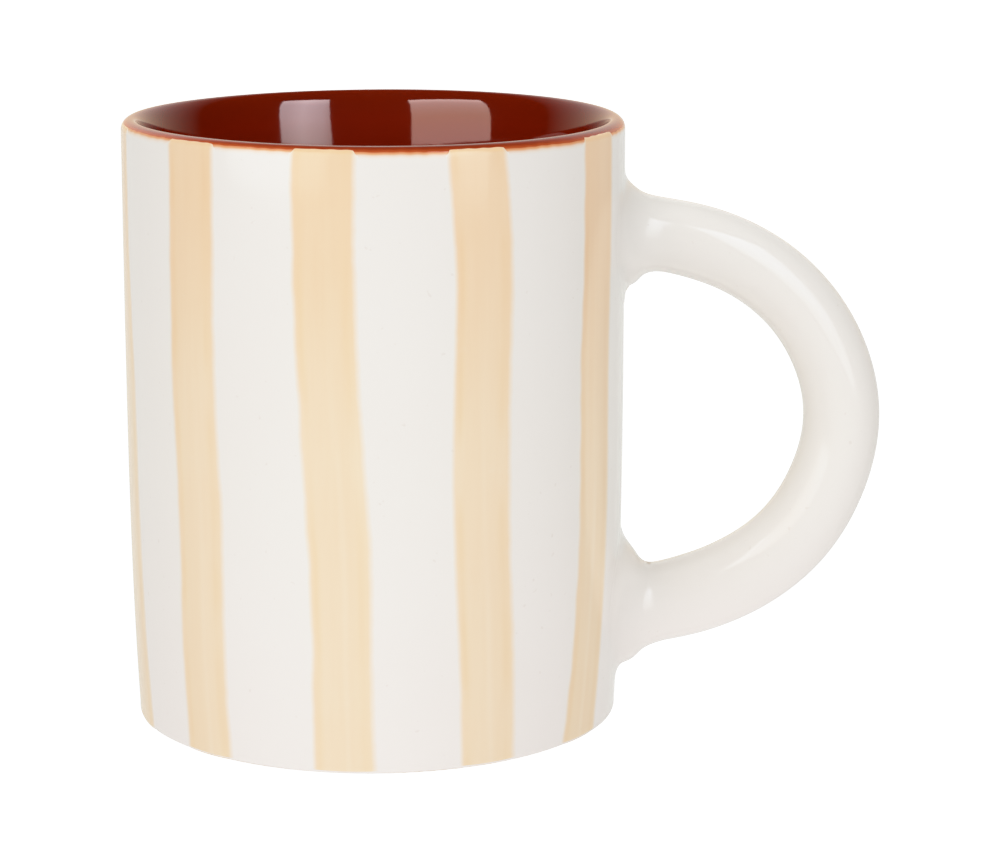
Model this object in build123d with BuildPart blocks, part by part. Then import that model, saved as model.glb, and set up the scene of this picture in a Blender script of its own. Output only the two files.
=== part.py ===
from build123d import *
import math
import os

# Stoneware mug in millimetres.  The cup's axis is Z, its foot ring stands on z = 0
# and the handle points along +X in the plane y = 0.
os.makedirs("parts", exist_ok=True)

# Cup
HEIGHT = 100.5            # foot to the top of the lip
LIP_RADIUS = 41.5         # outside of the wall at the lip
BELLY = 0.29              # how far the wall swells below the lip
FOOT_TAPER = 1.35         # how far the wall draws in towards the foot
LIP_OUTER_ROUND = 1.75
CROWN_RADIUS = 39.75      # circle along the top of the rounded lip
NECK_RADIUS = 35.9        # inside of the wall where the long inner slope of the lip ends
NECK_DEPTH = 14.0
CAVITY_FOOT_RADIUS = 35.2   # inside of the wall, down at the floor
FLOOR_HEIGHT = 5.6        # top of the floor above the foot
FLOOR_ROUND = 8.0
FOOT_ROUND = 0.5
RECESS_RADIUS = 35.4      # shallow recess that leaves the foot ring
RECESS_DEPTH = 1.6
RECESS_DRAFT = 1.2

# Coats
GLAZE = 0.35              # thickness of every glaze coat
PAINT = 0.12              # thickness of a brushed stripe
GLAZE_LINE = 0.9          # bare clay below this height
LIP_LINE = HEIGHT - 0.95  # white glaze ends and terracotta begins
STRIPE_TOP = HEIGHT - 0.6
STRIPE_BOTTOM = 1.2

# Handle: a round rod whose centreline runs from the upper root to the lower root
CENTRELINE = [
    (39.0, 81.5),
    (49.7, 80.2),
    (60.2, 76.9),
    (69.5, 70.4),
    (76.0, 61.0),
    (78.7, 49.7),
    (76.5, 38.3),
    (70.5, 28.4),
    (61.3, 21.5),
    (51.0, 17.8),
    (39.0, 16.0),
]
ROD_RADII = {0: 6.25, 0.3: 6.3, 0.55: 6.5, 0.8: 6.85, 1: 6.9}   # along the centreline
ROOT_ROUND = 6.0          # hollow curve of the slip collars at the roots

# Stripes: direction of each one's middle, seen from above, and the angle by which
# its foot is turned away from its top.  The handle stands in the wide gap at 0.
STRIPE_WIDTH = 14.2       # degrees round the cup
STRIPE_DIRECTIONS = [30, 62.5, 95, 127.5, 160, 192, 226.5, 260.5, 294.4, 329.2]
STRIPE_LEANS = [-1.0, 1.5, 0.5, -1.2, 1.0, 2.0, 0.6, 3.2, 2.2, -2.4]

# Half-plane through the axis, on the side away from the handle
PROFILE = Plane(origin=(0, 0, 0), x_dir=(-1, 0, 0), z_dir=(0, 1, 0))


def outside_radius(z):
    drop = 1 - z / HEIGHT
    return LIP_RADIUS + BELLY * drop - FOOT_TAPER * drop**4


def cup_form(inset):
    """Solid block bounded by the cup's outside, all but the foot moved in by inset."""
    foot = outside_radius(FOOT_ROUND) - inset
    lip_height = HEIGHT - LIP_OUTER_ROUND
    heights = [FOOT_ROUND, 12, 26, 48, 72, lip_height]
    with BuildPart() as form:
        with BuildSketch(PROFILE):
            with BuildLine():
                Line((0, 0), (foot - FOOT_ROUND, 0))
                JernArc((foot - FOOT_ROUND, 0), tangent=(1, 0), radius=FOOT_ROUND, arc_size=90)
                wall = Spline([(outside_radius(z) - inset, z) for z in heights])
                lip = JernArc(wall @ 1, tangent=(0, 1), radius=LIP_OUTER_ROUND - inset, arc_size=90)
                Polyline(lip @ 1, (0, HEIGHT - inset), (0, 0))
            make_face()
        revolve(axis=Axis.Z)
    return form.part


def cavity_form(outset):
    """Solid that fills the cup, its wall and floor moved out by outset."""
    top = HEIGHT - outset
    neck = (NECK_RADIUS + outset, HEIGHT - NECK_DEPTH)
    floor = FLOOR_HEIGHT - outset
    with BuildPart() as form:
        with BuildSketch(PROFILE):
            with BuildLine():
                lip = Bezier(
                    (CROWN_RADIUS, top),
                    (CROWN_RADIUS - 2.2 + outset / 2, top),
                    (NECK_RADIUS + 0.7 + outset, HEIGHT - 5 - outset / 2),
                    neck,
                )
                wall = Bezier(
                    neck,
                    (NECK_RADIUS - 0.31 + outset, neck[1] - 4),
                    (NECK_RADIUS - 0.55 + outset, neck[1] - 16),
                    (CAVITY_FOOT_RADIUS + outset, floor),
                )
                Polyline(wall @ 1, (0, floor), (0, top), lip @ 0)
            profile = make_face()
            corner = profile.vertices().sort_by(Axis.Z)[:2].sort_by(Axis.X)[0]
            fillet(corner, radius=FLOOR_ROUND + outset)
        revolve(axis=Axis.Z)
    return form.part


def rod_form(inset):
    """Handle rod with its radius reduced by inset; both ends lie inside the wall."""
    with BuildPart() as form:
        with BuildLine(Plane.XZ) as path:
            line = Spline(CENTRELINE)
        for position, radius in ROD_RADII.items():
            with BuildSketch(Plane(line @ position, x_dir=(0, 1, 0), z_dir=line % position)):
                Circle(radius - inset)
        sweep(path=line, multisection=True)
    return form.part


def joined_form(cup, rod, inset):
    """Cup block and rod in one, with the hollow collars worked round both roots."""
    with BuildPart() as form:
        add(cup)
        add(rod)
        near_wall = form.edges().filter_by_position(Axis.X, 39, 45)
        roots = near_wall.filter_by(lambda edge: edge.bounding_box().size.Y > 2)
        fillet(roots, radius=ROOT_ROUND + inset)
    return form.part


glazed_cup = cup_form(0)
bare_cup = cup_form(GLAZE)
painted_cup = cup_form(-PAINT)
glazed_rod = rod_form(0)
bare_rod = rod_form(GLAZE)
glazed_mug = joined_form(glazed_cup, glazed_rod, 0)
bare_mug = joined_form(bare_cup, bare_rod, GLAZE)
glazed_cavity = cavity_form(0)
bare_cavity = cavity_form(GLAZE)

# Thrown cup: wall, floor and foot ring in bare stoneware
with BuildPart() as cup_body:
    add(bare_cup)
    add(bare_cavity, mode=Mode.SUBTRACT)
    with BuildSketch(PROFILE):
        Polygon(
            (0, 0),
            (RECESS_RADIUS, 0),
            (RECESS_RADIUS - RECESS_DRAFT, RECESS_DEPTH),
            (0, RECESS_DEPTH),
            align=None,
        )
    revolve(axis=Axis.Z, mode=Mode.SUBTRACT)
cup_body.part.label = "cup_body"
export_step(cup_body.part, "parts/cup_body.step")

# Pulled handle, its ends cut to the curve of the wall
with BuildPart() as handle:
    add(bare_rod)
    add(bare_cup, mode=Mode.SUBTRACT)
handle.part.label = "handle"
export_step(handle.part, "parts/handle.step")

# Slip collars that lute the handle's roots to the wall
with BuildPart() as luting:
    add(bare_mug)
    add(bare_cup, mode=Mode.SUBTRACT)
    add(bare_rod, mode=Mode.SUBTRACT)
collars = luting.solids().sort_by(Axis.Z)

with BuildPart() as lower_luting:
    add(collars[0])
lower_luting.part.label = "lower_luting"
export_step(lower_luting.part, "parts/lower_luting.step")

with BuildPart() as upper_luting:
    add(collars[-1])
upper_luting.part.label = "upper_luting"
export_step(upper_luting.part, "parts/upper_luting.step")

# Terracotta glaze: inside, over the lip and a little way down outside it
with BuildPart() as liner_glaze:
    add(glazed_cup)
    with BuildSketch(Plane.XY.offset(LIP_LINE)):
        Circle(2 * LIP_RADIUS)
    extrude(amount=-HEIGHT, mode=Mode.SUBTRACT)
    add(bare_cavity)
    add(cup_body.part, mode=Mode.SUBTRACT)
    add(glazed_cavity, mode=Mode.SUBTRACT)
liner_glaze.part.label = "liner_glaze"
export_step(liner_glaze.part, "parts/liner_glaze.step")

# White glaze on the outside of the wall, between the bare foot and the lip line
with BuildPart() as outer_glaze:
    with BuildSketch(Plane.XY.offset(GLAZE_LINE)):
        Circle(2 * LIP_RADIUS)
    extrude(amount=LIP_LINE - GLAZE_LINE)
    add(glazed_cup, mode=Mode.INTERSECT)
    add(bare_mug, mode=Mode.SUBTRACT)
outer_glaze.part.label = "outer_glaze"
export_step(outer_glaze.part, "parts/outer_glaze.step")

# White glaze over the rod and the collars
with BuildPart() as handle_glaze:
    add(glazed_mug)
    add(glazed_cup, mode=Mode.SUBTRACT)
    add(bare_mug, mode=Mode.SUBTRACT)
handle_glaze.part.label = "handle_glaze"
export_step(handle_glaze.part, "parts/handle_glaze.step")

# Brushed stripes: thin bands of colour lying on the white glaze
with BuildPart() as paint_layer:
    add(painted_cup)
    add(glazed_cup, mode=Mode.SUBTRACT)

half_width = LIP_RADIUS * math.sin(math.radians(STRIPE_WIDTH / 2))
for number, (direction, lean) in enumerate(zip(STRIPE_DIRECTIONS, STRIPE_LEANS), start=1):
    angle = math.radians(direction)
    outward = Vector(math.cos(angle), math.sin(angle), 0)
    across = Vector(-math.sin(angle), math.cos(angle), 0)
    shift = LIP_RADIUS * math.sin(math.radians(lean / 2))
    with BuildPart() as stripe:
        add(paint_layer.part)
        with BuildSketch(Plane((0, 0, 0), x_dir=across, z_dir=outward)):
            Polygon(
                (shift - half_width, STRIPE_BOTTOM),
                (shift + half_width, STRIPE_BOTTOM),
                (half_width - shift, STRIPE_TOP),
                (-half_width - shift, STRIPE_TOP),
                align=None,
            )
        extrude(amount=2 * LIP_RADIUS, mode=Mode.INTERSECT)
    stripe.part.label = f"stripe_{number}"
    export_step(stripe.part, f"parts/stripe_{number}.step")
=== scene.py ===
import math

import bpy
import numpy as np
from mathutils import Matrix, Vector


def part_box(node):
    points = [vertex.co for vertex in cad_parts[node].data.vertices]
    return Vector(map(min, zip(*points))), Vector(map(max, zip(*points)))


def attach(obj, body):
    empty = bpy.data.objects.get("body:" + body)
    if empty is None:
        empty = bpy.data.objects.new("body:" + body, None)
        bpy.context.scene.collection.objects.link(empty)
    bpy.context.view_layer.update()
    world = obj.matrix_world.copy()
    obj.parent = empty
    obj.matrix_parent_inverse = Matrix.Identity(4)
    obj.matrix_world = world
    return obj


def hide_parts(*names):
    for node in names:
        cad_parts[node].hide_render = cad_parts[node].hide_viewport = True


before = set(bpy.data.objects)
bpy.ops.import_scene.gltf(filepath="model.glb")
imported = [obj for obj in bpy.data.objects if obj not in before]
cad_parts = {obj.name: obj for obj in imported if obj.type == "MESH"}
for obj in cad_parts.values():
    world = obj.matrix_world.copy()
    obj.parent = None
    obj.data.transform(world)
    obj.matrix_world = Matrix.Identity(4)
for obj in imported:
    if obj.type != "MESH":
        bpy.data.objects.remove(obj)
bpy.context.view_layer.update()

# ---------------------------------------------------------------- sizes, in millimetres
MM = 0.001
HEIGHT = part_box("liner_glaze")[1].z / MM
FLOOR = 5.6
LIP_RADIUS, BELLY, FOOT_TAPER = 41.5, 0.29, 1.35
LIP_ROUND = 1.75
NECK_RADIUS, NECK_DEPTH = 35.9, 14.0
CAVITY_FOOT_RADIUS, FLOOR_ROUND = 35.2, 8.0
FOOT_ROUND = 0.5
FOOT_START = -75  # degrees; the glazed section starts this far under the foot's rounding
GLAZE = 0.35
GLAZE_LINE = 0.22  # height at which the white starts
GLAZE_ROUND = 0.3  # width of the rounded edges of the white
BEAD, BEAD_LOW, BEAD_HIGH = 0.03, 1.0, 1.3  # the white is thicker by BEAD below these heights
UNDERLAP = 0.5  # the white goes on this far under the terracotta
LIP_LINE = HEIGHT - 0.92  # mean height at which the terracotta ends
LIP_WAVE = 0.11
LINING_LIFT, LINING_ROUND = 0.015, 0.22
RUN_LENGTH = 8.0  # distance over which the terracotta gets its full colour
BLEED = 1.0  # distance over which the white is stained under the terracotta
AROUND = 512


def wall_radius(z):
    drop = 1 - z / HEIGHT
    return LIP_RADIUS + BELLY * drop - FOOT_TAPER * drop**4


def bezier(p0, p1, p2, p3, count):
    t = np.linspace(0, 1, count)[:, None]
    p0, p1, p2, p3 = (np.array(p, float) for p in (p0, p1, p2, p3))
    return (1 - t)**3 * p0 + 3 * (1 - t)**2 * t * p1 + 3 * (1 - t) * t**2 * p2 + t**3 * p3


def arc(centre, radius, start, end, count):
    a = np.radians(np.linspace(start, end, count))
    return np.stack([centre[0] + radius * np.cos(a), centre[1] + radius * np.sin(a)], 1)


def cubic_spline(points, count):
    """Natural cubic through points, chord length as parameter."""
    points = np.array(points, float)
    knots = np.concatenate([[0], np.cumsum(np.linalg.norm(np.diff(points, axis=0), axis=1))])
    n = len(points)
    h = np.diff(knots)
    system = np.eye(n)
    right = np.zeros_like(points)
    for i in range(1, n - 1):
        system[i, i - 1:i + 2] = h[i - 1], 2 * (h[i - 1] + h[i]), h[i]
        right[i] = 6 * ((points[i + 1] - points[i]) / h[i] - (points[i] - points[i - 1]) / h[i - 1])
    bend = np.linalg.solve(system, right)
    t = np.linspace(0, knots[-1], count)
    k = np.clip(np.searchsorted(knots, t, side="right") - 1, 0, n - 2)
    a, b, span = (knots[k + 1] - t)[:, None], (t - knots[k])[:, None], h[k][:, None]
    before = points[k] / span - bend[k] * span / 6
    after = points[k + 1] / span - bend[k + 1] * span / 6
    return (bend[k] * a**3 + bend[k + 1] * b**3) / (6 * span) + before * a + after * b


def smoothstep(x, low, high):
    t = np.clip((x - low) / (high - low), 0, 1)
    return t * t * (3 - 2 * t)


def quarter_round(distance, width):
    """Rises from 0 to 1 as a quarter of an ellipse over width."""
    return np.sqrt(np.clip(1 - (1 - np.clip(distance / width, 0, 1))**2, 0, 1))


def wander(angle, seed, waves, size):
    """Smooth random curve round the cup: a sum of whole numbers of waves."""
    rng = np.random.default_rng(seed)
    total = np.zeros_like(angle)
    for k in waves:
        total += rng.normal() * np.cos(k * angle + rng.uniform(0, 2 * np.pi))
    return size * total / math.sqrt(len(waves))


# ---------------------------------------------------------------- the cup's glazed section
class Section:
    """Path (r, z) from the foot up the outside, over the lip and down to the floor's middle."""

    def __init__(self):
        z = np.linspace(FOOT_ROUND, HEIGHT - LIP_ROUND, 400)
        outside = np.stack([wall_radius(z), z], 1)
        foot = arc((outside[0, 0] - FOOT_ROUND, FOOT_ROUND), FOOT_ROUND, FOOT_START, 0, 30)
        crown = outside[-1, 0] - LIP_ROUND
        lip = arc((crown, HEIGHT - LIP_ROUND), LIP_ROUND, 0, 90, 60)
        neck = (NECK_RADIUS, HEIGHT - NECK_DEPTH)
        leave, arrive = (crown - 1.9, HEIGHT), (neck[0] + 0.85, HEIGHT - 5)
        inner_lip = bezier((crown, HEIGHT), leave, arrive, neck, 160)
        corner = (CAVITY_FOOT_RADIUS, FLOOR + FLOOR_ROUND)
        leave, arrive = (neck[0] - 0.38, neck[1] - 4), (neck[0] - 0.55, neck[1] - 16)
        inside = bezier(neck, leave, arrive, corner, 200)
        bend = arc((corner[0] - FLOOR_ROUND, corner[1]), FLOOR_ROUND, 0, -90, 60)
        floor = np.stack([np.linspace(bend[-1, 0], 0, 60), np.full(60, FLOOR)], 1)
        parts = [foot, outside[1:], lip[1:], inner_lip[1:], inside[1:], bend[1:], floor[1:]]
        self.points = np.concatenate(parts)
        steps = np.linalg.norm(np.diff(self.points, axis=0), axis=1)
        self.length = np.concatenate([[0], np.cumsum(steps)])
        marks = self.length[np.cumsum([len(p) for p in parts]) - 1]
        self.crown, self.corner, self.floor, self.end = marks[2], marks[4], marks[5], marks[6]
        slope = np.gradient(self.points, self.length, axis=0)
        slope /= np.linalg.norm(slope, axis=1)[:, None]
        self.normals = np.stack([slope[:, 1], -slope[:, 0]], 1)

    def at(self, run, lift=0.0):
        """Points at distance run along the path, lifted off the surface."""
        r = np.interp(run, self.length, self.points[:, 0])
        z = np.interp(run, self.length, self.points[:, 1])
        nr = np.interp(run, self.length, self.normals[:, 0])
        nz = np.interp(run, self.length, self.normals[:, 1])
        return r + nr * lift, z + nz * lift

    def run_at_height(self, z):
        """Distance along the path of a height on the outside, lip included."""
        top = np.searchsorted(self.length, self.crown)
        return np.interp(z, self.points[:top, 1], self.length[:top])


SECTION = Section()


# ---------------------------------------------------------------- mesh helpers
def piece(name, points, faces, material, slot, *replaced):
    """Object in metres from points in millimetres, riding on the mug."""
    mesh = bpy.data.meshes.new(name)
    mesh.from_pydata((np.asarray(points) * MM).tolist(), [], faces)
    mesh.update()
    mesh.shade_smooth()
    made = bpy.data.objects.new(name, mesh)
    bpy.context.scene.collection.objects.link(made)
    mesh.materials.append(material)
    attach(made, "root")
    if replaced:
        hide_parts(*replaced)
    return made


def grid_faces(rows, columns, wrap_rows=False, wrap_columns=False):
    faces = []
    for i in range(rows if wrap_rows else rows - 1):
        a, b = i * columns, (i + 1) % rows * columns
        for j in range(columns if wrap_columns else columns - 1):
            k = (j + 1) % columns
            faces.append((a + j, a + k, b + k, b + j))
    return faces


def set_values(made, name, values):
    attribute = made.data.attributes.new(name, "FLOAT", "POINT")
    attribute.data.foreach_set("value", np.asarray(values, np.float32).ravel())


def turned(r, z, angle):
    """Points turned about Z.  The lip of the hand-thrown cup waves a little in height."""
    wave = LIP_WAVE * np.sin(2 * angle) * smoothstep(z, HEIGHT - 30, HEIGHT - 2)
    return np.stack([r * np.cos(angle), r * np.sin(angle), z + wave], -1)


def coat(name, runs, lift, angles, material, slot, node, centre_z=None):
    """Closed skin of glaze.  runs and lift have one row per step along the section
    and one column per angle; the underside lies GLAZE below the path.  With centre_z
    the skin ends in the middle of the cup's floor, at that height."""
    over = turned(*SECTION.at(runs, lift), angles)
    under = turned(*SECTION.at(runs[::-1], -GLAZE + 0 * lift), angles)
    rows = np.concatenate([over, under])
    count, columns = rows.shape[:2]
    points = rows.reshape(-1, 3)
    if centre_z is None:
        faces = grid_faces(count, columns, wrap_rows=True, wrap_columns=True)
        return piece(name, points, faces, material, slot, node)
    half = count // 2
    top = grid_faces(half, columns, wrap_columns=True)
    bottom = [tuple(v + half * columns for v in face) for face in top]
    end = columns * (count - 1)
    rim = [(end + j, end + (j + 1) % columns, (j + 1) % columns, j) for j in range(columns)]
    points = np.concatenate([points, [[0, 0, centre_z], [0, 0, centre_z - GLAZE]]])
    last = len(points)
    caps = []
    for j in range(columns):
        k = (j + 1) % columns
        a, b = (half - 1) * columns, half * columns
        caps.append((a + j, a + k, last - 2))
        caps.append((b + k, b + j, last - 1))
    return piece(name, points, top + bottom + rim + caps, material, slot, node)


# ---------------------------------------------------------------- materials
class Nodes:
    """Small helper that adds and links the nodes of one tree."""

    def __init__(self, tree):
        self.tree = tree

    def node(self, kind, **settings):
        made = self.tree.nodes.new(kind)
        for key, value in settings.items():
            if hasattr(made, key):
                setattr(made, key, value)
            else:
                made.inputs[key].default_value = value
        return made

    def link(self, source, target):
        self.tree.links.new(source, target)

    def ramp(self, value, *stops):
        """Colour ramp.  stops are (position, colour)."""
        made = self.node("ShaderNodeValToRGB")
        elements = made.color_ramp.elements
        while len(elements) < len(stops):
            elements.new(0.5)
        for element, (position, colour) in zip(elements, stops):
            element.position = position
            element.color = (*colour, 1)
        self.link(value, made.inputs["Fac"])
        return made.outputs["Color"]

    def spread(self, value, low, high, to_low=0.0, to_high=1.0):
        made = self.node("ShaderNodeMapRange")
        sockets = ("From Min", "From Max", "To Min", "To Max")
        for key, number in zip(sockets, (low, high, to_low, to_high)):
            made.inputs[key].default_value = number
        self.link(value, made.inputs["Value"])
        return made.outputs["Result"]

    def split(self, vector):
        made = self.node("ShaderNodeSeparateXYZ")
        self.link(vector, made.inputs[0])
        return made.outputs


class Shader(Nodes):
    """Nodes of one glossy material, placed in the object's own coordinates."""

    def __init__(self, name):
        self.material = bpy.data.materials.new(name)
        self.material.use_nodes = True
        super().__init__(self.material.node_tree)
        self.surface = self.tree.nodes["Principled BSDF"]
        self.where = self.node("ShaderNodeTexCoord").outputs["Object"]

    def set(self, **values):
        for key, value in values.items():
            self.surface.inputs[key.replace("_", " ")].default_value = value

    def noise(self, scale, detail=2.0, rough=0.5, stretch=None, seed=0.0):
        where = self.where
        if stretch is not None or seed:
            mapping = self.node("ShaderNodeMapping")
            mapping.inputs["Scale"].default_value = stretch or (1, 1, 1)
            mapping.inputs["Location"].default_value = (seed, seed * 0.7, seed * 0.3)
            self.link(where, mapping.inputs["Vector"])
            where = mapping.outputs["Vector"]
        made = self.node("ShaderNodeTexNoise", Scale=scale, Detail=detail, Roughness=rough)
        self.link(where, made.inputs["Vector"])
        return made.outputs["Fac"]

    def math(self, operation, a, b):
        made = self.node("ShaderNodeMath", operation=operation)
        for socket, value in zip(made.inputs, (a, b)):
            if isinstance(value, (int, float)):
                socket.default_value = value
            else:
                self.link(value, socket)
        return made.outputs[0]

    def mix(self, factor, a, b, blend="MIX"):
        made = self.node("ShaderNodeMix", data_type="RGBA", blend_type=blend)
        sockets = [s for s in made.inputs if s.type == "RGBA"]
        for socket, value in ((made.inputs[0], factor), (sockets[0], a), (sockets[1], b)):
            if isinstance(value, tuple):
                socket.default_value = (*value, 1)
            elif isinstance(value, (int, float)):
                socket.default_value = value
            else:
                self.link(value, socket)
        return [s for s in made.outputs if s.type == "RGBA"][0]

    def height(self):
        return self.split(self.where)["Z"]

    def value_of(self, name):
        return self.node("ShaderNodeAttribute", attribute_name=name).outputs["Fac"]

    def colour(self, source):
        self.link(source, self.surface.inputs["Base Color"])

    def bump(self, *layers):
        """layers are (height, distance in metres)."""
        normal = None
        for height, distance in layers:
            made = self.node("ShaderNodeBump", Strength=1.0, Distance=distance)
            self.link(height, made.inputs["Height"])
            if normal is not None:
                self.link(normal, made.inputs["Normal"])
            normal = made.outputs["Normal"]
        self.link(normal, self.surface.inputs["Normal"])


def glaze_surface(shader, roughness=0.07, index=1.36):
    """Gloss that all the glazes share: clear, with a faint orange peel and slow waves."""
    shader.set(IOR=index)
    patches = shader.noise(90, 3, 0.6, seed=3.1)
    patchy = shader.spread(patches, 0.35, 0.7, roughness * 0.75, roughness * 1.4)
    shader.link(patchy, shader.surface.inputs["Roughness"])
    waves = shader.noise(55, 1.0, 0.4, seed=1.3)
    peel = shader.noise(420, 2.0, 0.5, seed=5.0)
    shader.bump((waves, 0.00009), (peel, 0.000006))


def white_colour(shader):
    """Warm white that is cooler and a little greyer towards the lip: painted shade at the top and
    painted bounce light from the floor towards the foot.
    """
    # Painted light: the white gets lighter towards the foot and darker towards the lip, standing in
    # for the floor's bounce light.
    tone = shader.ramp(
        shader.spread(shader.height(), 0.0, HEIGHT * MM),
        (0.0, (0.802, 0.770, 0.738)),
        (0.45, (0.785, 0.770, 0.729)),
        (1.0, (0.750, 0.739, 0.706)),
    )
    cloud = shader.spread(shader.noise(28, 4, 0.55, seed=2.0), 0.3, 0.7, 0.0, 0.35)
    tone = shader.mix(cloud, tone, (0.765, 0.735, 0.69))
    speck = shader.spread(shader.noise(900, 1, 0.5, seed=9.0), 0.74, 0.80, 0.0, 0.12)
    return shader.mix(speck, tone, (0.42, 0.33, 0.25))


def make_white():
    shader = Shader("white_glaze")
    bleed = shader.ramp(
        shader.value_of("below_edge"),
        (0.0, (0.88, 0.40, 0.19)),
        (0.15, (0.94, 0.58, 0.37)),
        (0.35, (0.99, 0.83, 0.72)),
        (0.65, (1.0, 0.96, 0.93)),
        (1.0, (1.0, 1.0, 1.0)),
    )
    shader.colour(shader.mix(1.0, white_colour(shader), bleed, "MULTIPLY"))
    glaze_surface(shader)
    return shader.material


def make_terracotta():
    shader = Shader("terracotta_glaze")
    tone = shader.ramp(
        shader.value_of("past_edge"),
        (0.0, (0.60, 0.22, 0.10)),
        (0.038, (0.47, 0.090, 0.023)),
        (0.094, (0.32, 0.042, 0.010)),
        (0.2, (0.175, 0.0125, 0.0012)),
        (0.4, (0.172, 0.0100, 0.0006)),
        (1.0, (0.235, 0.0115, 0.0007)),
    )
    cloud = shader.spread(shader.noise(60, 4, 0.6, seed=4.0), 0.35, 0.7, 0.0, 0.4)
    tone = shader.mix(cloud, tone, shader.mix(1.0, tone, (0.86, 0.80, 0.80), "MULTIPLY"))
    shader.colour(tone)
    glaze_surface(shader, 0.05, 1.8)
    shader.set(Specular_Tint=(1.0, 0.86, 0.82, 1.0))
    return shader.material


def make_stripe():
    shader = Shader("stripe_glaze")
    cover = shader.value_of("cover")
    brush = shader.noise(300, 3, 0.6, stretch=(1, 1, 0.06), seed=6.0)
    strokes = shader.spread(brush, 0.3, 0.7)
    thick_paint_and_shade = shader.ramp(strokes, (0.0, (0.762, 0.562, 0.380)), (1.0, (0.784, 0.597, 0.416)))
    thin_paint_and_bounce_light = shader.ramp(strokes, (0.0, (0.795, 0.645, 0.470)), (1.0, (0.810, 0.680, 0.515)))
    # Painted light: the paint is darker towards the lip and paler towards the foot, as thicker and
    # thinner brushwork and also as painted shade at the top and painted bounce light from the floor
    # lower down.
    body = shader.mix(shader.value_of("thin_paint_and_bounce_light"), thick_paint_and_shade, thin_paint_and_bounce_light)
    streak = shader.math("MULTIPLY", shader.value_of("streak"), 0.5)
    body = shader.mix(streak, body, (0.825, 0.710, 0.560))
    pink = shader.spread(shader.noise(35, 3, 0.5, seed=8.0), 0.35, 0.7, 0.0, 0.5)
    body = shader.mix(pink, body, (0.81, 0.635, 0.465))
    body = shader.mix(shader.value_of("rim"), body, (0.985, 0.95, 0.885), "MULTIPLY")
    fray = shader.spread(shader.noise(500, 2, 0.5, seed=7.0), 0.2, 0.8, -0.08, 0.08)
    ragged = shader.math("ADD", cover, fray)
    soft = shader.spread(ragged, 0.04, 0.96)
    bleed = shader.ramp(
        shader.value_of("below_edge"),
        (0.0, (1.0, 0.94, 0.86)),
        (0.4, (1.0, 1.0, 1.0)),
    )
    tone = shader.mix(1.0, shader.mix(soft, white_colour(shader), body), bleed, "MULTIPLY")
    shader.colour(tone)
    glaze_surface(shader)
    return shader.material


def make_clay(name, light, dark):
    shader = Shader(name)
    grain = shader.noise(650, 5, 0.7, seed=1.0)
    tone = shader.ramp(shader.spread(grain, 0.3, 0.7), (0.0, dark), (1.0, light))
    speck = shader.spread(shader.noise(1500, 1, 0.5, seed=2.5), 0.68, 0.76, 0.0, 0.7)
    tone = shader.mix(speck, tone, (0.20, 0.13, 0.08))
    shader.colour(tone)
    rough = shader.spread(grain, 0.3, 0.7, 0.62, 0.85)
    shader.link(rough, shader.surface.inputs["Roughness"])
    shader.bump((shader.noise(160, 4, 0.6, seed=3.0), 0.0002), (grain, 0.00012))
    return shader.material


WHITE = make_white()
TERRACOTTA = make_terracotta()
STRIPE = make_stripe()
CLAY = make_clay("bare_clay", (0.74, 0.69, 0.61), (0.60, 0.54, 0.46))
SLIP = make_clay("slip_clay", (0.70, 0.65, 0.58), (0.58, 0.52, 0.45))

# ---------------------------------------------------------------- the edge between the glazes
angles = np.linspace(0, 2 * np.pi, AROUND, endpoint=False)


def lip_edge(angle):
    """Run along the section at which the terracotta ends, outside the lip."""
    slow = wander(angle, 11, (2, 3, 5, 7), 0.05) - 0.27 * np.cos(angle - 0.09)
    quick = wander(angle, 12, (17, 23, 31, 44, 59, 73, 97, 120), 0.045)
    return SECTION.run_at_height(LIP_LINE) + slow + quick


def foot_bead(runs):
    """The white ran down while it melted and is a little thicker just over the foot."""
    high, low = SECTION.run_at_height(BEAD_HIGH), SECTION.run_at_height(BEAD_LOW)
    return BEAD * smoothstep(runs, high, low)


# ---------------------------------------------------------------- white coat on the wall
edge = lip_edge(angles)
start = SECTION.run_at_height(GLAZE_LINE) + wander(angles, 13, (2, 3, 5, 9, 16, 27), 0.05)
stop = edge + UNDERLAP
fine_foot, wall, fine_top = (0, 0.012, 8), (0.02, 0.97, 70), (0.974, 1, 28)
steps = np.concatenate([np.linspace(*part) for part in (fine_foot, wall, fine_top)])
runs = start + steps[:, None] * (stop - start)
from_edge = np.minimum(runs - start, stop - runs)
lift = -GLAZE * (1 - quarter_round(from_edge, GLAZE_ROUND)) + foot_bead(runs)
white_coat = coat("white_coat", runs, lift, angles, WHITE, "white_glaze", "outer_glaze")
below = edge - runs
set_values(white_coat, "below_edge", np.clip(np.concatenate([below, below[::-1]]) / BLEED, 0, 1))

# ---------------------------------------------------------------- terracotta lining
base = SECTION.run_at_height(LIP_LINE)
near = np.concatenate([np.linspace(0, 0.3, 8), np.linspace(0.4, 16, 70)])
far = np.concatenate([
    np.linspace(base + 16.8, SECTION.corner, 40),
    np.linspace(SECTION.corner + 0.7, SECTION.floor, 16),
    np.linspace(SECTION.floor + 1.5, SECTION.end - 1.5, 14),
])
fade = smoothstep(near, 16, 1)[:, None]
runs = np.concatenate([base + near[:, None] + (edge - base) * fade, far[:, None] + 0 * edge])
past = runs - edge
lift = LINING_LIFT - (GLAZE + LINING_LIFT) * (1 - quarter_round(past, LINING_ROUND))
lining = coat(
    "terracotta_lining", runs, lift, angles, TERRACOTTA, "terracotta_glaze", "liner_glaze", FLOOR,
)
past_values = np.clip(np.concatenate([past, past[::-1]]).ravel() / RUN_LENGTH, 0, 1)
set_values(lining, "past_edge", np.append(past_values, [1, 1]))

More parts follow.
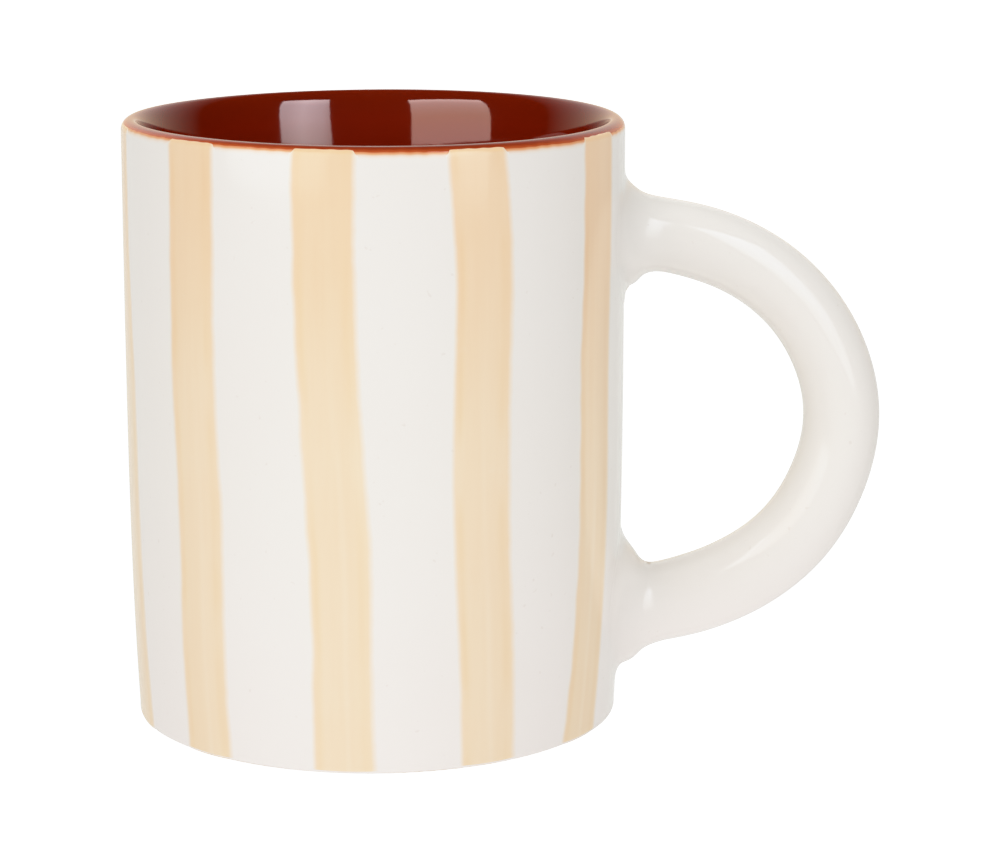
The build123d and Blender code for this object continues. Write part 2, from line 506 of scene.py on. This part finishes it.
# ---------------------------------------------------------------- brushed stripes
# Direction of each stripe's middle, in degrees, at six heights from the foot to the lip
STRIPE_PATHS = [
    (28.8, 29.4, 30.2, 30.4, 30.1, 30.6),
    (63.9, 63.1, 62.6, 62.2, 61.9, 61.6),
    (95.6, 95.1, 94.4, 94.8, 95.5, 95.2),
    (126.4, 127.1, 127.9, 128.1, 127.3, 127.6),
    (161.0, 160.6, 159.8, 159.5, 159.9, 160.3),
    (197.0, 194.7, 193.8, 192.8, 190.3, 189.7),
    (227.7, 227.0, 227.2, 226.0, 225.9, 226.2),
    (262.6, 262.15, 261.8, 260.0, 259.1, 259.1),
    (296.1, 295.1, 293.95, 293.85, 294.5, 292.7),
    (325.2, 328.0, 329.2, 329.0, 330.0, 330.2),
]
STRIPE_HALF = 6.95  # half of a stripe's width, in degrees
# Places across a stripe, in halves of its width: the colour ends at COLOUR_END and the
# piece itself at STRIPE_MARGIN.  The colour thins out over LEFT_FADE and RIGHT_FADE.
COLOUR_END, STRIPE_MARGIN = 1.07, 1.09
LEFT_FADE, RIGHT_FADE = 0.17, 0.24
STRIPE_FOOT = 0.25
STRIPE_UNDER = 0.09
EDGE_WAVES, RIM_WAVES = (2, 3, 5, 8, 13), (2, 3, 5, 8)
# How far each stripe reaches over the edge of the terracotta
STRIPE_OVERLAPS = [0.40, 0.30, 0.50, 0.35, 0.40, 0.05, 0.25, 0.45, 0.50, 0.50]


def bell(x, middle, width):
    return np.exp(-((x - middle) / width)**2)


def make_stripe_piece(number, path, overlap):
    """One brushed band, a closed skin that lies on the white coat."""
    edge_steps = np.linspace(0.91, STRIPE_MARGIN, 14)
    across = np.concatenate([-edge_steps[::-1], np.linspace(-0.88, 0.88, 37), edge_steps])
    fine_foot, wall, fine_top = (0, 0.02, 6), (0.03, 0.97, 120), (0.974, 1, 26)
    up = np.concatenate([np.linspace(*part) for part in (fine_foot, wall, fine_top)])
    share = up[:, None] + 0 * across
    curve = cubic_spline(np.stack([np.linspace(0, 100, len(path)), path], 1), 120)
    middle = np.interp(share, curve[:, 0] / 100, curve[:, 1])
    left = wander(share * 6.0, 100 + number, EDGE_WAVES, 0.13)
    right = wander(share * 6.0, 200 + number, EDGE_WAVES, 0.13)
    side = np.where(across < 0, left, right)
    angle = np.radians(middle + across * STRIPE_HALF + side * np.abs(across))
    width = np.abs(across)
    reach = (overlap + 0.12 * (1 - width**2)) * smoothstep(width, 0.99, 0.90)
    top = lip_edge(angle) + (reach - 0.3 * smoothstep(width, 0.96, 1.04))
    bottom = SECTION.run_at_height(STRIPE_FOOT) + 0.15 * width**2
    runs = bottom + share * (top - bottom)
    fade = np.where(across < 0, LEFT_FADE, RIGHT_FADE)
    cover = np.clip((COLOUR_END - width) / fade, 0, 1) + 0 * share
    core = smoothstep(width, COLOUR_END, 0.93)
    lift = 0.006 + 0.008 * core - 0.05 * smoothstep(width, COLOUR_END, STRIPE_MARGIN)
    lift = lift + foot_bead(runs)
    lift += 0.035 * core * smoothstep(runs - lip_edge(angle), -0.6, -0.05)
    lift -= 0.05 * smoothstep(np.minimum(runs - bottom, top - runs), 0.14, 0.0)**2
    over = turned(*SECTION.at(runs, lift), angle)
    under = turned(*SECTION.at(runs[::-1], -STRIPE_UNDER + 0 * runs), angle[::-1])
    rows, columns = over.shape[:2]
    shell = np.concatenate([over, under])
    faces = grid_faces(2 * rows, columns, wrap_rows=True)
    faces = [tuple(reversed(face)) for face in faces]
    sides = []
    for i in range(rows - 1):
        for j in (0, columns - 1):
            a, b = i * columns + j, (i + 1) * columns + j
            c, d = (2 * rows - 2 - i) * columns + j, (2 * rows - 1 - i) * columns + j
            sides.append((a, b, c, d) if j == 0 else (d, c, b, a))
    made = piece(
        f"painted_stripe_{number}", shell.reshape(-1, 3), faces + sides, STRIPE,
        "stripe_glaze", f"stripe_{number}",
    )
    streak = bell(across, 0.12 * math.sin(number), 0.11) * smoothstep(share, 0.75, 0.2)
    below = np.clip((lip_edge(angle) - runs) / BLEED, 0, 1)
    rim = 0.9 * bell(across, -0.80, 0.12) + 0.7 * bell(across, 0.66, 0.16)
    rim = rim * np.clip(0.7 + wander(share * 6.0, 300 + number, RIM_WAVES, 0.4), 0, 1)
    # Weight of the paler paint, full over the lower half of the stripe: thinner brushwork together
    # with painted bounce light from the floor.
    thin_paint_and_bounce_light = smoothstep(share, 1.0, 0.45) + 0 * across
    painted = {"cover": cover, "streak": streak, "below_edge": below, "rim": rim, "thin_paint_and_bounce_light": thin_paint_and_bounce_light}
    for name, values in painted.items():
        set_values(made, name, np.concatenate([values, values[::-1]]))


for number, (path, overlap) in enumerate(zip(STRIPE_PATHS, STRIPE_OVERLAPS), start=1):
    make_stripe_piece(number, path, overlap)

# ---------------------------------------------------------------- handle
# Middle of the rod, (x, z) from the upper root to the lower, and its radius along the way
CENTRELINE = [
    (39.0, 81.5), (49.7, 80.2), (60.2, 76.9), (69.5, 70.4), (76.0, 61.0), (78.7, 49.7),
    (76.5, 38.3), (70.5, 28.4), (61.3, 21.5), (51.0, 17.8), (39.0, 16.0),
]
ROD_SHARES = [0, 0.3, 0.55, 0.8, 1]
ROD_RADII = [6.25, 6.3, 6.5, 6.85, 6.9]
# Flares at the roots, (distance off the wall, swelling of the rod): above, below and
# beside each root
UPPER_TOP = [
    (0, 5.6), (0.15, 3.6), (0.6, 2.5), (1.4, 1.65),
    (2.3, 0.95), (3.4, 0.4), (5, 0.1), (7.5, 0),
]
UPPER_UNDER = [
    (0, 6.3), (0.2, 4.7), (0.65, 3.2), (1.5, 2.65),
    (2.3, 2.05), (3.1, 1.2), (4.5, 0.4), (7.5, 0),
]
UPPER_SIDE = [
    (0, 7.2), (0.05, 6.0), (0.3, 4.5), (1.1, 2.75),
    (2.4, 1.35), (4.2, 0.45), (6.0, 0.1), (7.5, 0),
]
LOWER_TOP = [
    (0, 8.4), (0.3, 7.0), (0.9, 5.5), (1.9, 4.0),
    (3.0, 2.5), (4.0, 1.15), (5.0, 0.4), (7.5, 0),
]
LOWER_UNDER = [
    (0, 5.4), (0.2, 4.0), (0.9, 2.9), (2.1, 2.55),
    (3.2, 1.9), (4.1, 1.05), (5.4, 0.4), (7.5, 0),
]
LOWER_SIDE = [
    (0, 7.4), (0.05, 6.2), (0.3, 4.8), (1.1, 3.2),
    (2.4, 1.75), (4.2, 0.65), (6.0, 0.15), (7.5, 0),
]
ROUND = 96
FLARE_STEPS = 46
FLARE_REACH = 7.5
WALL_REACH = 14  # distance over which the rings turn from the wall's curve to flat
END_SWELL, END_SINK = 0.8, 0.06  # the handle's ends go on a little way into the white coat

line = cubic_spline(CENTRELINE, 1200)
line = line[line[:, 0] > wall_radius(line[:, 1])]
travel = np.concatenate([[0], np.cumsum(np.linalg.norm(np.diff(line, axis=0), axis=1))])
total = travel[-1]
phi = np.linspace(0, 2 * np.pi, ROUND, endpoint=False)


def rod_at(run):
    return np.interp(run, travel, line[:, 0]), np.interp(run, travel, line[:, 1])


def handle_ring(run, off, swell):
    """Ring of the handle.  run, off (distance off the wall) and swell (added to the
    rod's radius) may differ from point to point of the ring."""
    cx, cz = rod_at(run)
    ahead, behind = rod_at(run + 0.2), rod_at(run - 0.2)
    dx, dz = ahead[0] - behind[0], ahead[1] - behind[1]
    size = np.hypot(dx, dz)
    radius = np.interp(run / total, ROD_SHARES, ROD_RADII) + swell
    lean = -radius * np.cos(phi) * dz / size
    z = cz + radius * np.cos(phi) * dx / size
    y = radius * np.sin(phi)
    start = line[0, 0] if np.mean(run) < total / 2 else line[-1, 0]
    wall_x = np.sqrt(np.maximum(wall_radius(np.clip(z, 0, HEIGHT))**2 - y**2, 0))
    onto_wall = (wall_x - start - lean) * (1 - smoothstep(off, 0, WALL_REACH))
    return np.stack([cx + lean + onto_wall, y, z], 1)


def root_rings(at_zero, at_half, at_side):
    """Rings of one root; the profiles belong to phi = 0, 180 and +-90 degrees."""
    profiles = [cubic_spline(profile, FLARE_STEPS) for profile in (at_zero, at_half, at_side)]
    zero = np.clip(np.cos(phi), 0, 1)**1.6
    half = np.clip(-np.cos(phi), 0, 1)**1.6
    weights = (zero, half, 1 - zero - half)
    for step in range(FLARE_STEPS):
        yield [sum(w * p[step, column] for w, p in zip(weights, profiles)) for column in (0, 1)]


def make_handle():
    upper_root = list(root_rings(UPPER_TOP, UPPER_UNDER, UPPER_SIDE))
    lower_root = list(root_rings(LOWER_UNDER, LOWER_TOP, LOWER_SIDE))
    upper = [handle_ring(off, off, swell) for off, swell in upper_root]
    lower = [handle_ring(total - off, off, swell) for off, swell in lower_root]
    middle_runs = np.linspace(FLARE_REACH, total - FLARE_REACH, 130)[1:-1]
    middle = [handle_ring(run + 0 * phi, min(run, total - run), 0) for run in middle_runs]
    rows = upper + middle + lower[::-1]
    sunk = np.array([-END_SINK, 0, 0])
    upper_end = handle_ring(0 * phi, 0 * phi, upper_root[0][1] + END_SWELL) + sunk
    lower_end = handle_ring(total + 0 * phi, 0 * phi, lower_root[0][1] + END_SWELL) + sunk
    rows = np.array([upper_end] + rows + [lower_end])
    faces = grid_faces(len(rows), ROUND, wrap_columns=True)
    points = np.concatenate([rows.reshape(-1, 3), [rows[0].mean(0), rows[-1].mean(0)]])
    last = (len(rows) - 1) * ROUND
    for j in range(ROUND):
        k = (j + 1) % ROUND
        faces.append((k, j, len(points) - 2))
        faces.append((last + j, last + k, len(points) - 1))
    made = piece("glazed_handle", points, faces, WHITE, "white_glaze", "handle_glaze")
    set_values(made, "below_edge", np.ones(len(points)))


make_handle()

# ---------------------------------------------------------------- bare clay
CLAYS = {"cup_body": CLAY, "handle": CLAY, "upper_luting": SLIP, "lower_luting": SLIP}
for node, material in CLAYS.items():
    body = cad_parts[node]
    body.data.materials.clear()
    body.data.materials.append(material)

# ---------------------------------------------------------------- stage, light and camera
FLOOR_SIZE = 12.0
FLOOR_GLOW = 1.3


def stage_plane():
    mesh = bpy.data.meshes.new("floor")
    corners = [(-1, -1), (1, -1), (1, 1), (-1, 1)]
    mesh.from_pydata([(FLOOR_SIZE * x, FLOOR_SIZE * y, 0) for x, y in corners], [], [(0, 1, 2, 3)])
    floor = bpy.data.objects.new("floor", mesh)
    bpy.context.scene.collection.objects.link(floor)
    material = bpy.data.materials.new("pale_floor")
    material.use_nodes = True
    surface = material.node_tree.nodes["Principled BSDF"]
    surface.inputs["Base Color"].default_value = (0.25, 0.25, 0.25, 1)
    surface.inputs["Roughness"].default_value = 0.8
    surface.inputs["Emission Color"].default_value = (1, 1, 1, 1)
    surface.inputs["Emission Strength"].default_value = FLOOR_GLOW
    mesh.materials.append(material)
    floor.visible_diffuse = floor.visible_glossy = floor.visible_shadow = False


stage_plane()


def softbox(name, azimuth, distance, width, height, bottom, radiance, colour=(1, 1, 1)):
    """Upright rectangular light at azimuth degrees from the front, towards +X."""
    data = bpy.data.lights.new(name, "AREA")
    data.shape = "RECTANGLE"
    data.size, data.size_y = width, height
    data.energy = math.pi * width * height * radiance
    data.color = colour
    lamp = bpy.data.objects.new(name, data)
    a = math.radians(azimuth)
    lamp.location = (distance * math.sin(a), -distance * math.cos(a), bottom + height / 2)
    lamp.rotation_euler = Vector((-math.sin(a), math.cos(a), 0)).to_track_quat("-Z", "Y").to_euler()
    lamp.visible_camera = False
    bpy.context.scene.collection.objects.link(lamp)
    return lamp


def add_glow(lamp, *axes):
    """Makes the glow of a softbox uneven.  axes are (axis, low, high, stops), with the
    stops' positions between the coordinates low and high of that axis."""
    lamp.data.use_nodes = True
    nodes = Nodes(lamp.data.node_tree)
    where = nodes.split(nodes.node("ShaderNodeNewGeometry").outputs["Position"])
    total = None
    for axis, low, high, stops in axes:
        stops = [((position - low) / (high - low), colour) for position, colour in stops]
        glow = nodes.ramp(nodes.spread(where[axis], low, high), *stops)
        if total is None:
            total = glow
            continue
        product = nodes.node("ShaderNodeVectorMath", operation="MULTIPLY")
        nodes.link(total, product.inputs[0])
        nodes.link(glow, product.inputs[1])
        total = product.outputs[0]
    nodes.link(total, nodes.tree.nodes["Emission"].inputs["Color"])


# Even light that the gloss doesn't show, then the two softboxes that only the gloss shows
left_light = softbox("left_light", -50, 0.75, 0.65, 0.88, 0.0, 1.35, (1.0, 0.985, 0.965))
right_light = softbox("right_light", 41, 0.75, 0.55, 0.88, 0.0, 1.0, (0.99, 0.99, 1.0))
front_light = softbox("front_light", 0, 1.2, 1.2, 1.2, 0.0, 1.1)
overhead = softbox("overhead", 0, 0.1, 1.2, 1.2, 0.35, 1.95, (1.0, 0.98, 0.97))
overhead.rotation_euler = (0, 0, 0)
floor_bounce = softbox("floor_bounce", 0, 0.0, 3.0, 3.0, -1.505, 1.20, (1.0, 0.96, 0.955))
floor_bounce.rotation_euler = (math.pi, 0, 0)
for lamp in (left_light, right_light, front_light, overhead, floor_bounce):
    lamp.visible_glossy = False
left_shine = softbox("left_shine", -43.9, 0.72, 0.617, 0.77, 0.0, 10)
right_shine = softbox("right_shine", 38.6, 0.785, 0.406, 0.84, 0.0, 10)
for lamp in (left_shine, right_shine):
    lamp.visible_diffuse = False
right_shine.rotation_euler.rotate_axis("Z", math.radians(-5))
LEFT_UPWARDS = (
    (0.0, (0.26, 0.25, 0.24)), (0.10, (0.26, 0.24, 0.22)), (0.19, (0.27, 0.205, 0.19)),
    (0.34, (0.28, 0.22, 0.18)), (0.60, (0.36, 0.32, 0.31)), (0.70, (0.50, 0.46, 0.45)),
)
RIGHT_UPWARDS = (
    (0.0, (0.26, 0.26, 0.26)), (0.10, (0.26, 0.26, 0.26)), (0.19, (0.33, 0.36, 0.37)),
    (0.34, (0.42, 0.46, 0.50)), (0.60, (0.46, 0.50, 0.56)), (0.74, (0.58, 0.62, 0.68)),
)
RIGHT_SIDEWAYS = (
    (0.305, (0.55, 0.52, 0.50)), (0.38, (0.80, 0.80, 0.80)), (0.50, (1.0, 1.0, 1.0)),
    (0.61, (0.78, 0.78, 0.78)),
)
add_glow(left_shine, ("Z", 0, 0.8, LEFT_UPWARDS))
add_glow(right_shine, ("Z", 0, 0.8, RIGHT_UPWARDS), ("X", 0.3, 0.62, RIGHT_SIDEWAYS))

# Dim studio that the gloss shows: pale behind the mug, dark in front and overhead
world = bpy.data.worlds.new("studio")
bpy.context.scene.world = world
world.use_nodes = True
nodes = Nodes(world.node_tree)
way = nodes.split(nodes.node("ShaderNodeTexCoord").outputs["Generated"])
strength = nodes.node("ShaderNodeMath", operation="MULTIPLY_ADD")
nodes.link(nodes.spread(way["Y"], 0.22, 1.0, 0.0, 1.36), strength.inputs[0])
nodes.link(nodes.spread(way["Z"], 0.6, 0.85, 1.0, 0.0), strength.inputs[1])
strength.inputs[2].default_value = 0.004
sky = nodes.ramp(
    nodes.spread(way["Z"], -0.1, 0.45),
    (0.0, (0.63, 0.645, 0.62)),
    (0.36, (0.79, 0.65, 0.49)),
    (1.0, (0.88, 0.86, 0.83)),
)
background = nodes.tree.nodes["Background"]
nodes.link(strength.outputs[0], background.inputs["Strength"])
nodes.link(sky, background.inputs["Color"])

camera_data = bpy.data.cameras.new("camera")
camera_data.sensor_width = 36
camera_data.lens = 114.82
camera_data.clip_start = 0.01
camera_data.clip_end = 100
camera = bpy.data.objects.new("camera", camera_data)
camera.location = (0, -0.52522, 0.16231)
camera.rotation_euler = [math.radians(turn) for turn in (90 - 12.361, -0.079, -2.263)]
bpy.context.scene.collection.objects.link(camera)
bpy.context.scene.camera = camera

# Bright tones are rounded off, so that the white glaze keeps its shading
view = bpy.context.scene.view_settings
view.view_transform = "Standard"
view.look = "None"
view.use_curve_mapping = True
view.curve_mapping.clip_max_x = 2.0
ALL_CHANNELS = 3
shoulder = view.curve_mapping.curves[ALL_CHANNELS]
shoulder.points[1].location = (1.3, 1.0)
for bright, shown in ((0.35, 0.35), (0.8, 0.8), (0.95, 0.9), (1.1, 0.945)):
    shoulder.points.new(bright, shown)
view.curve_mapping.update()
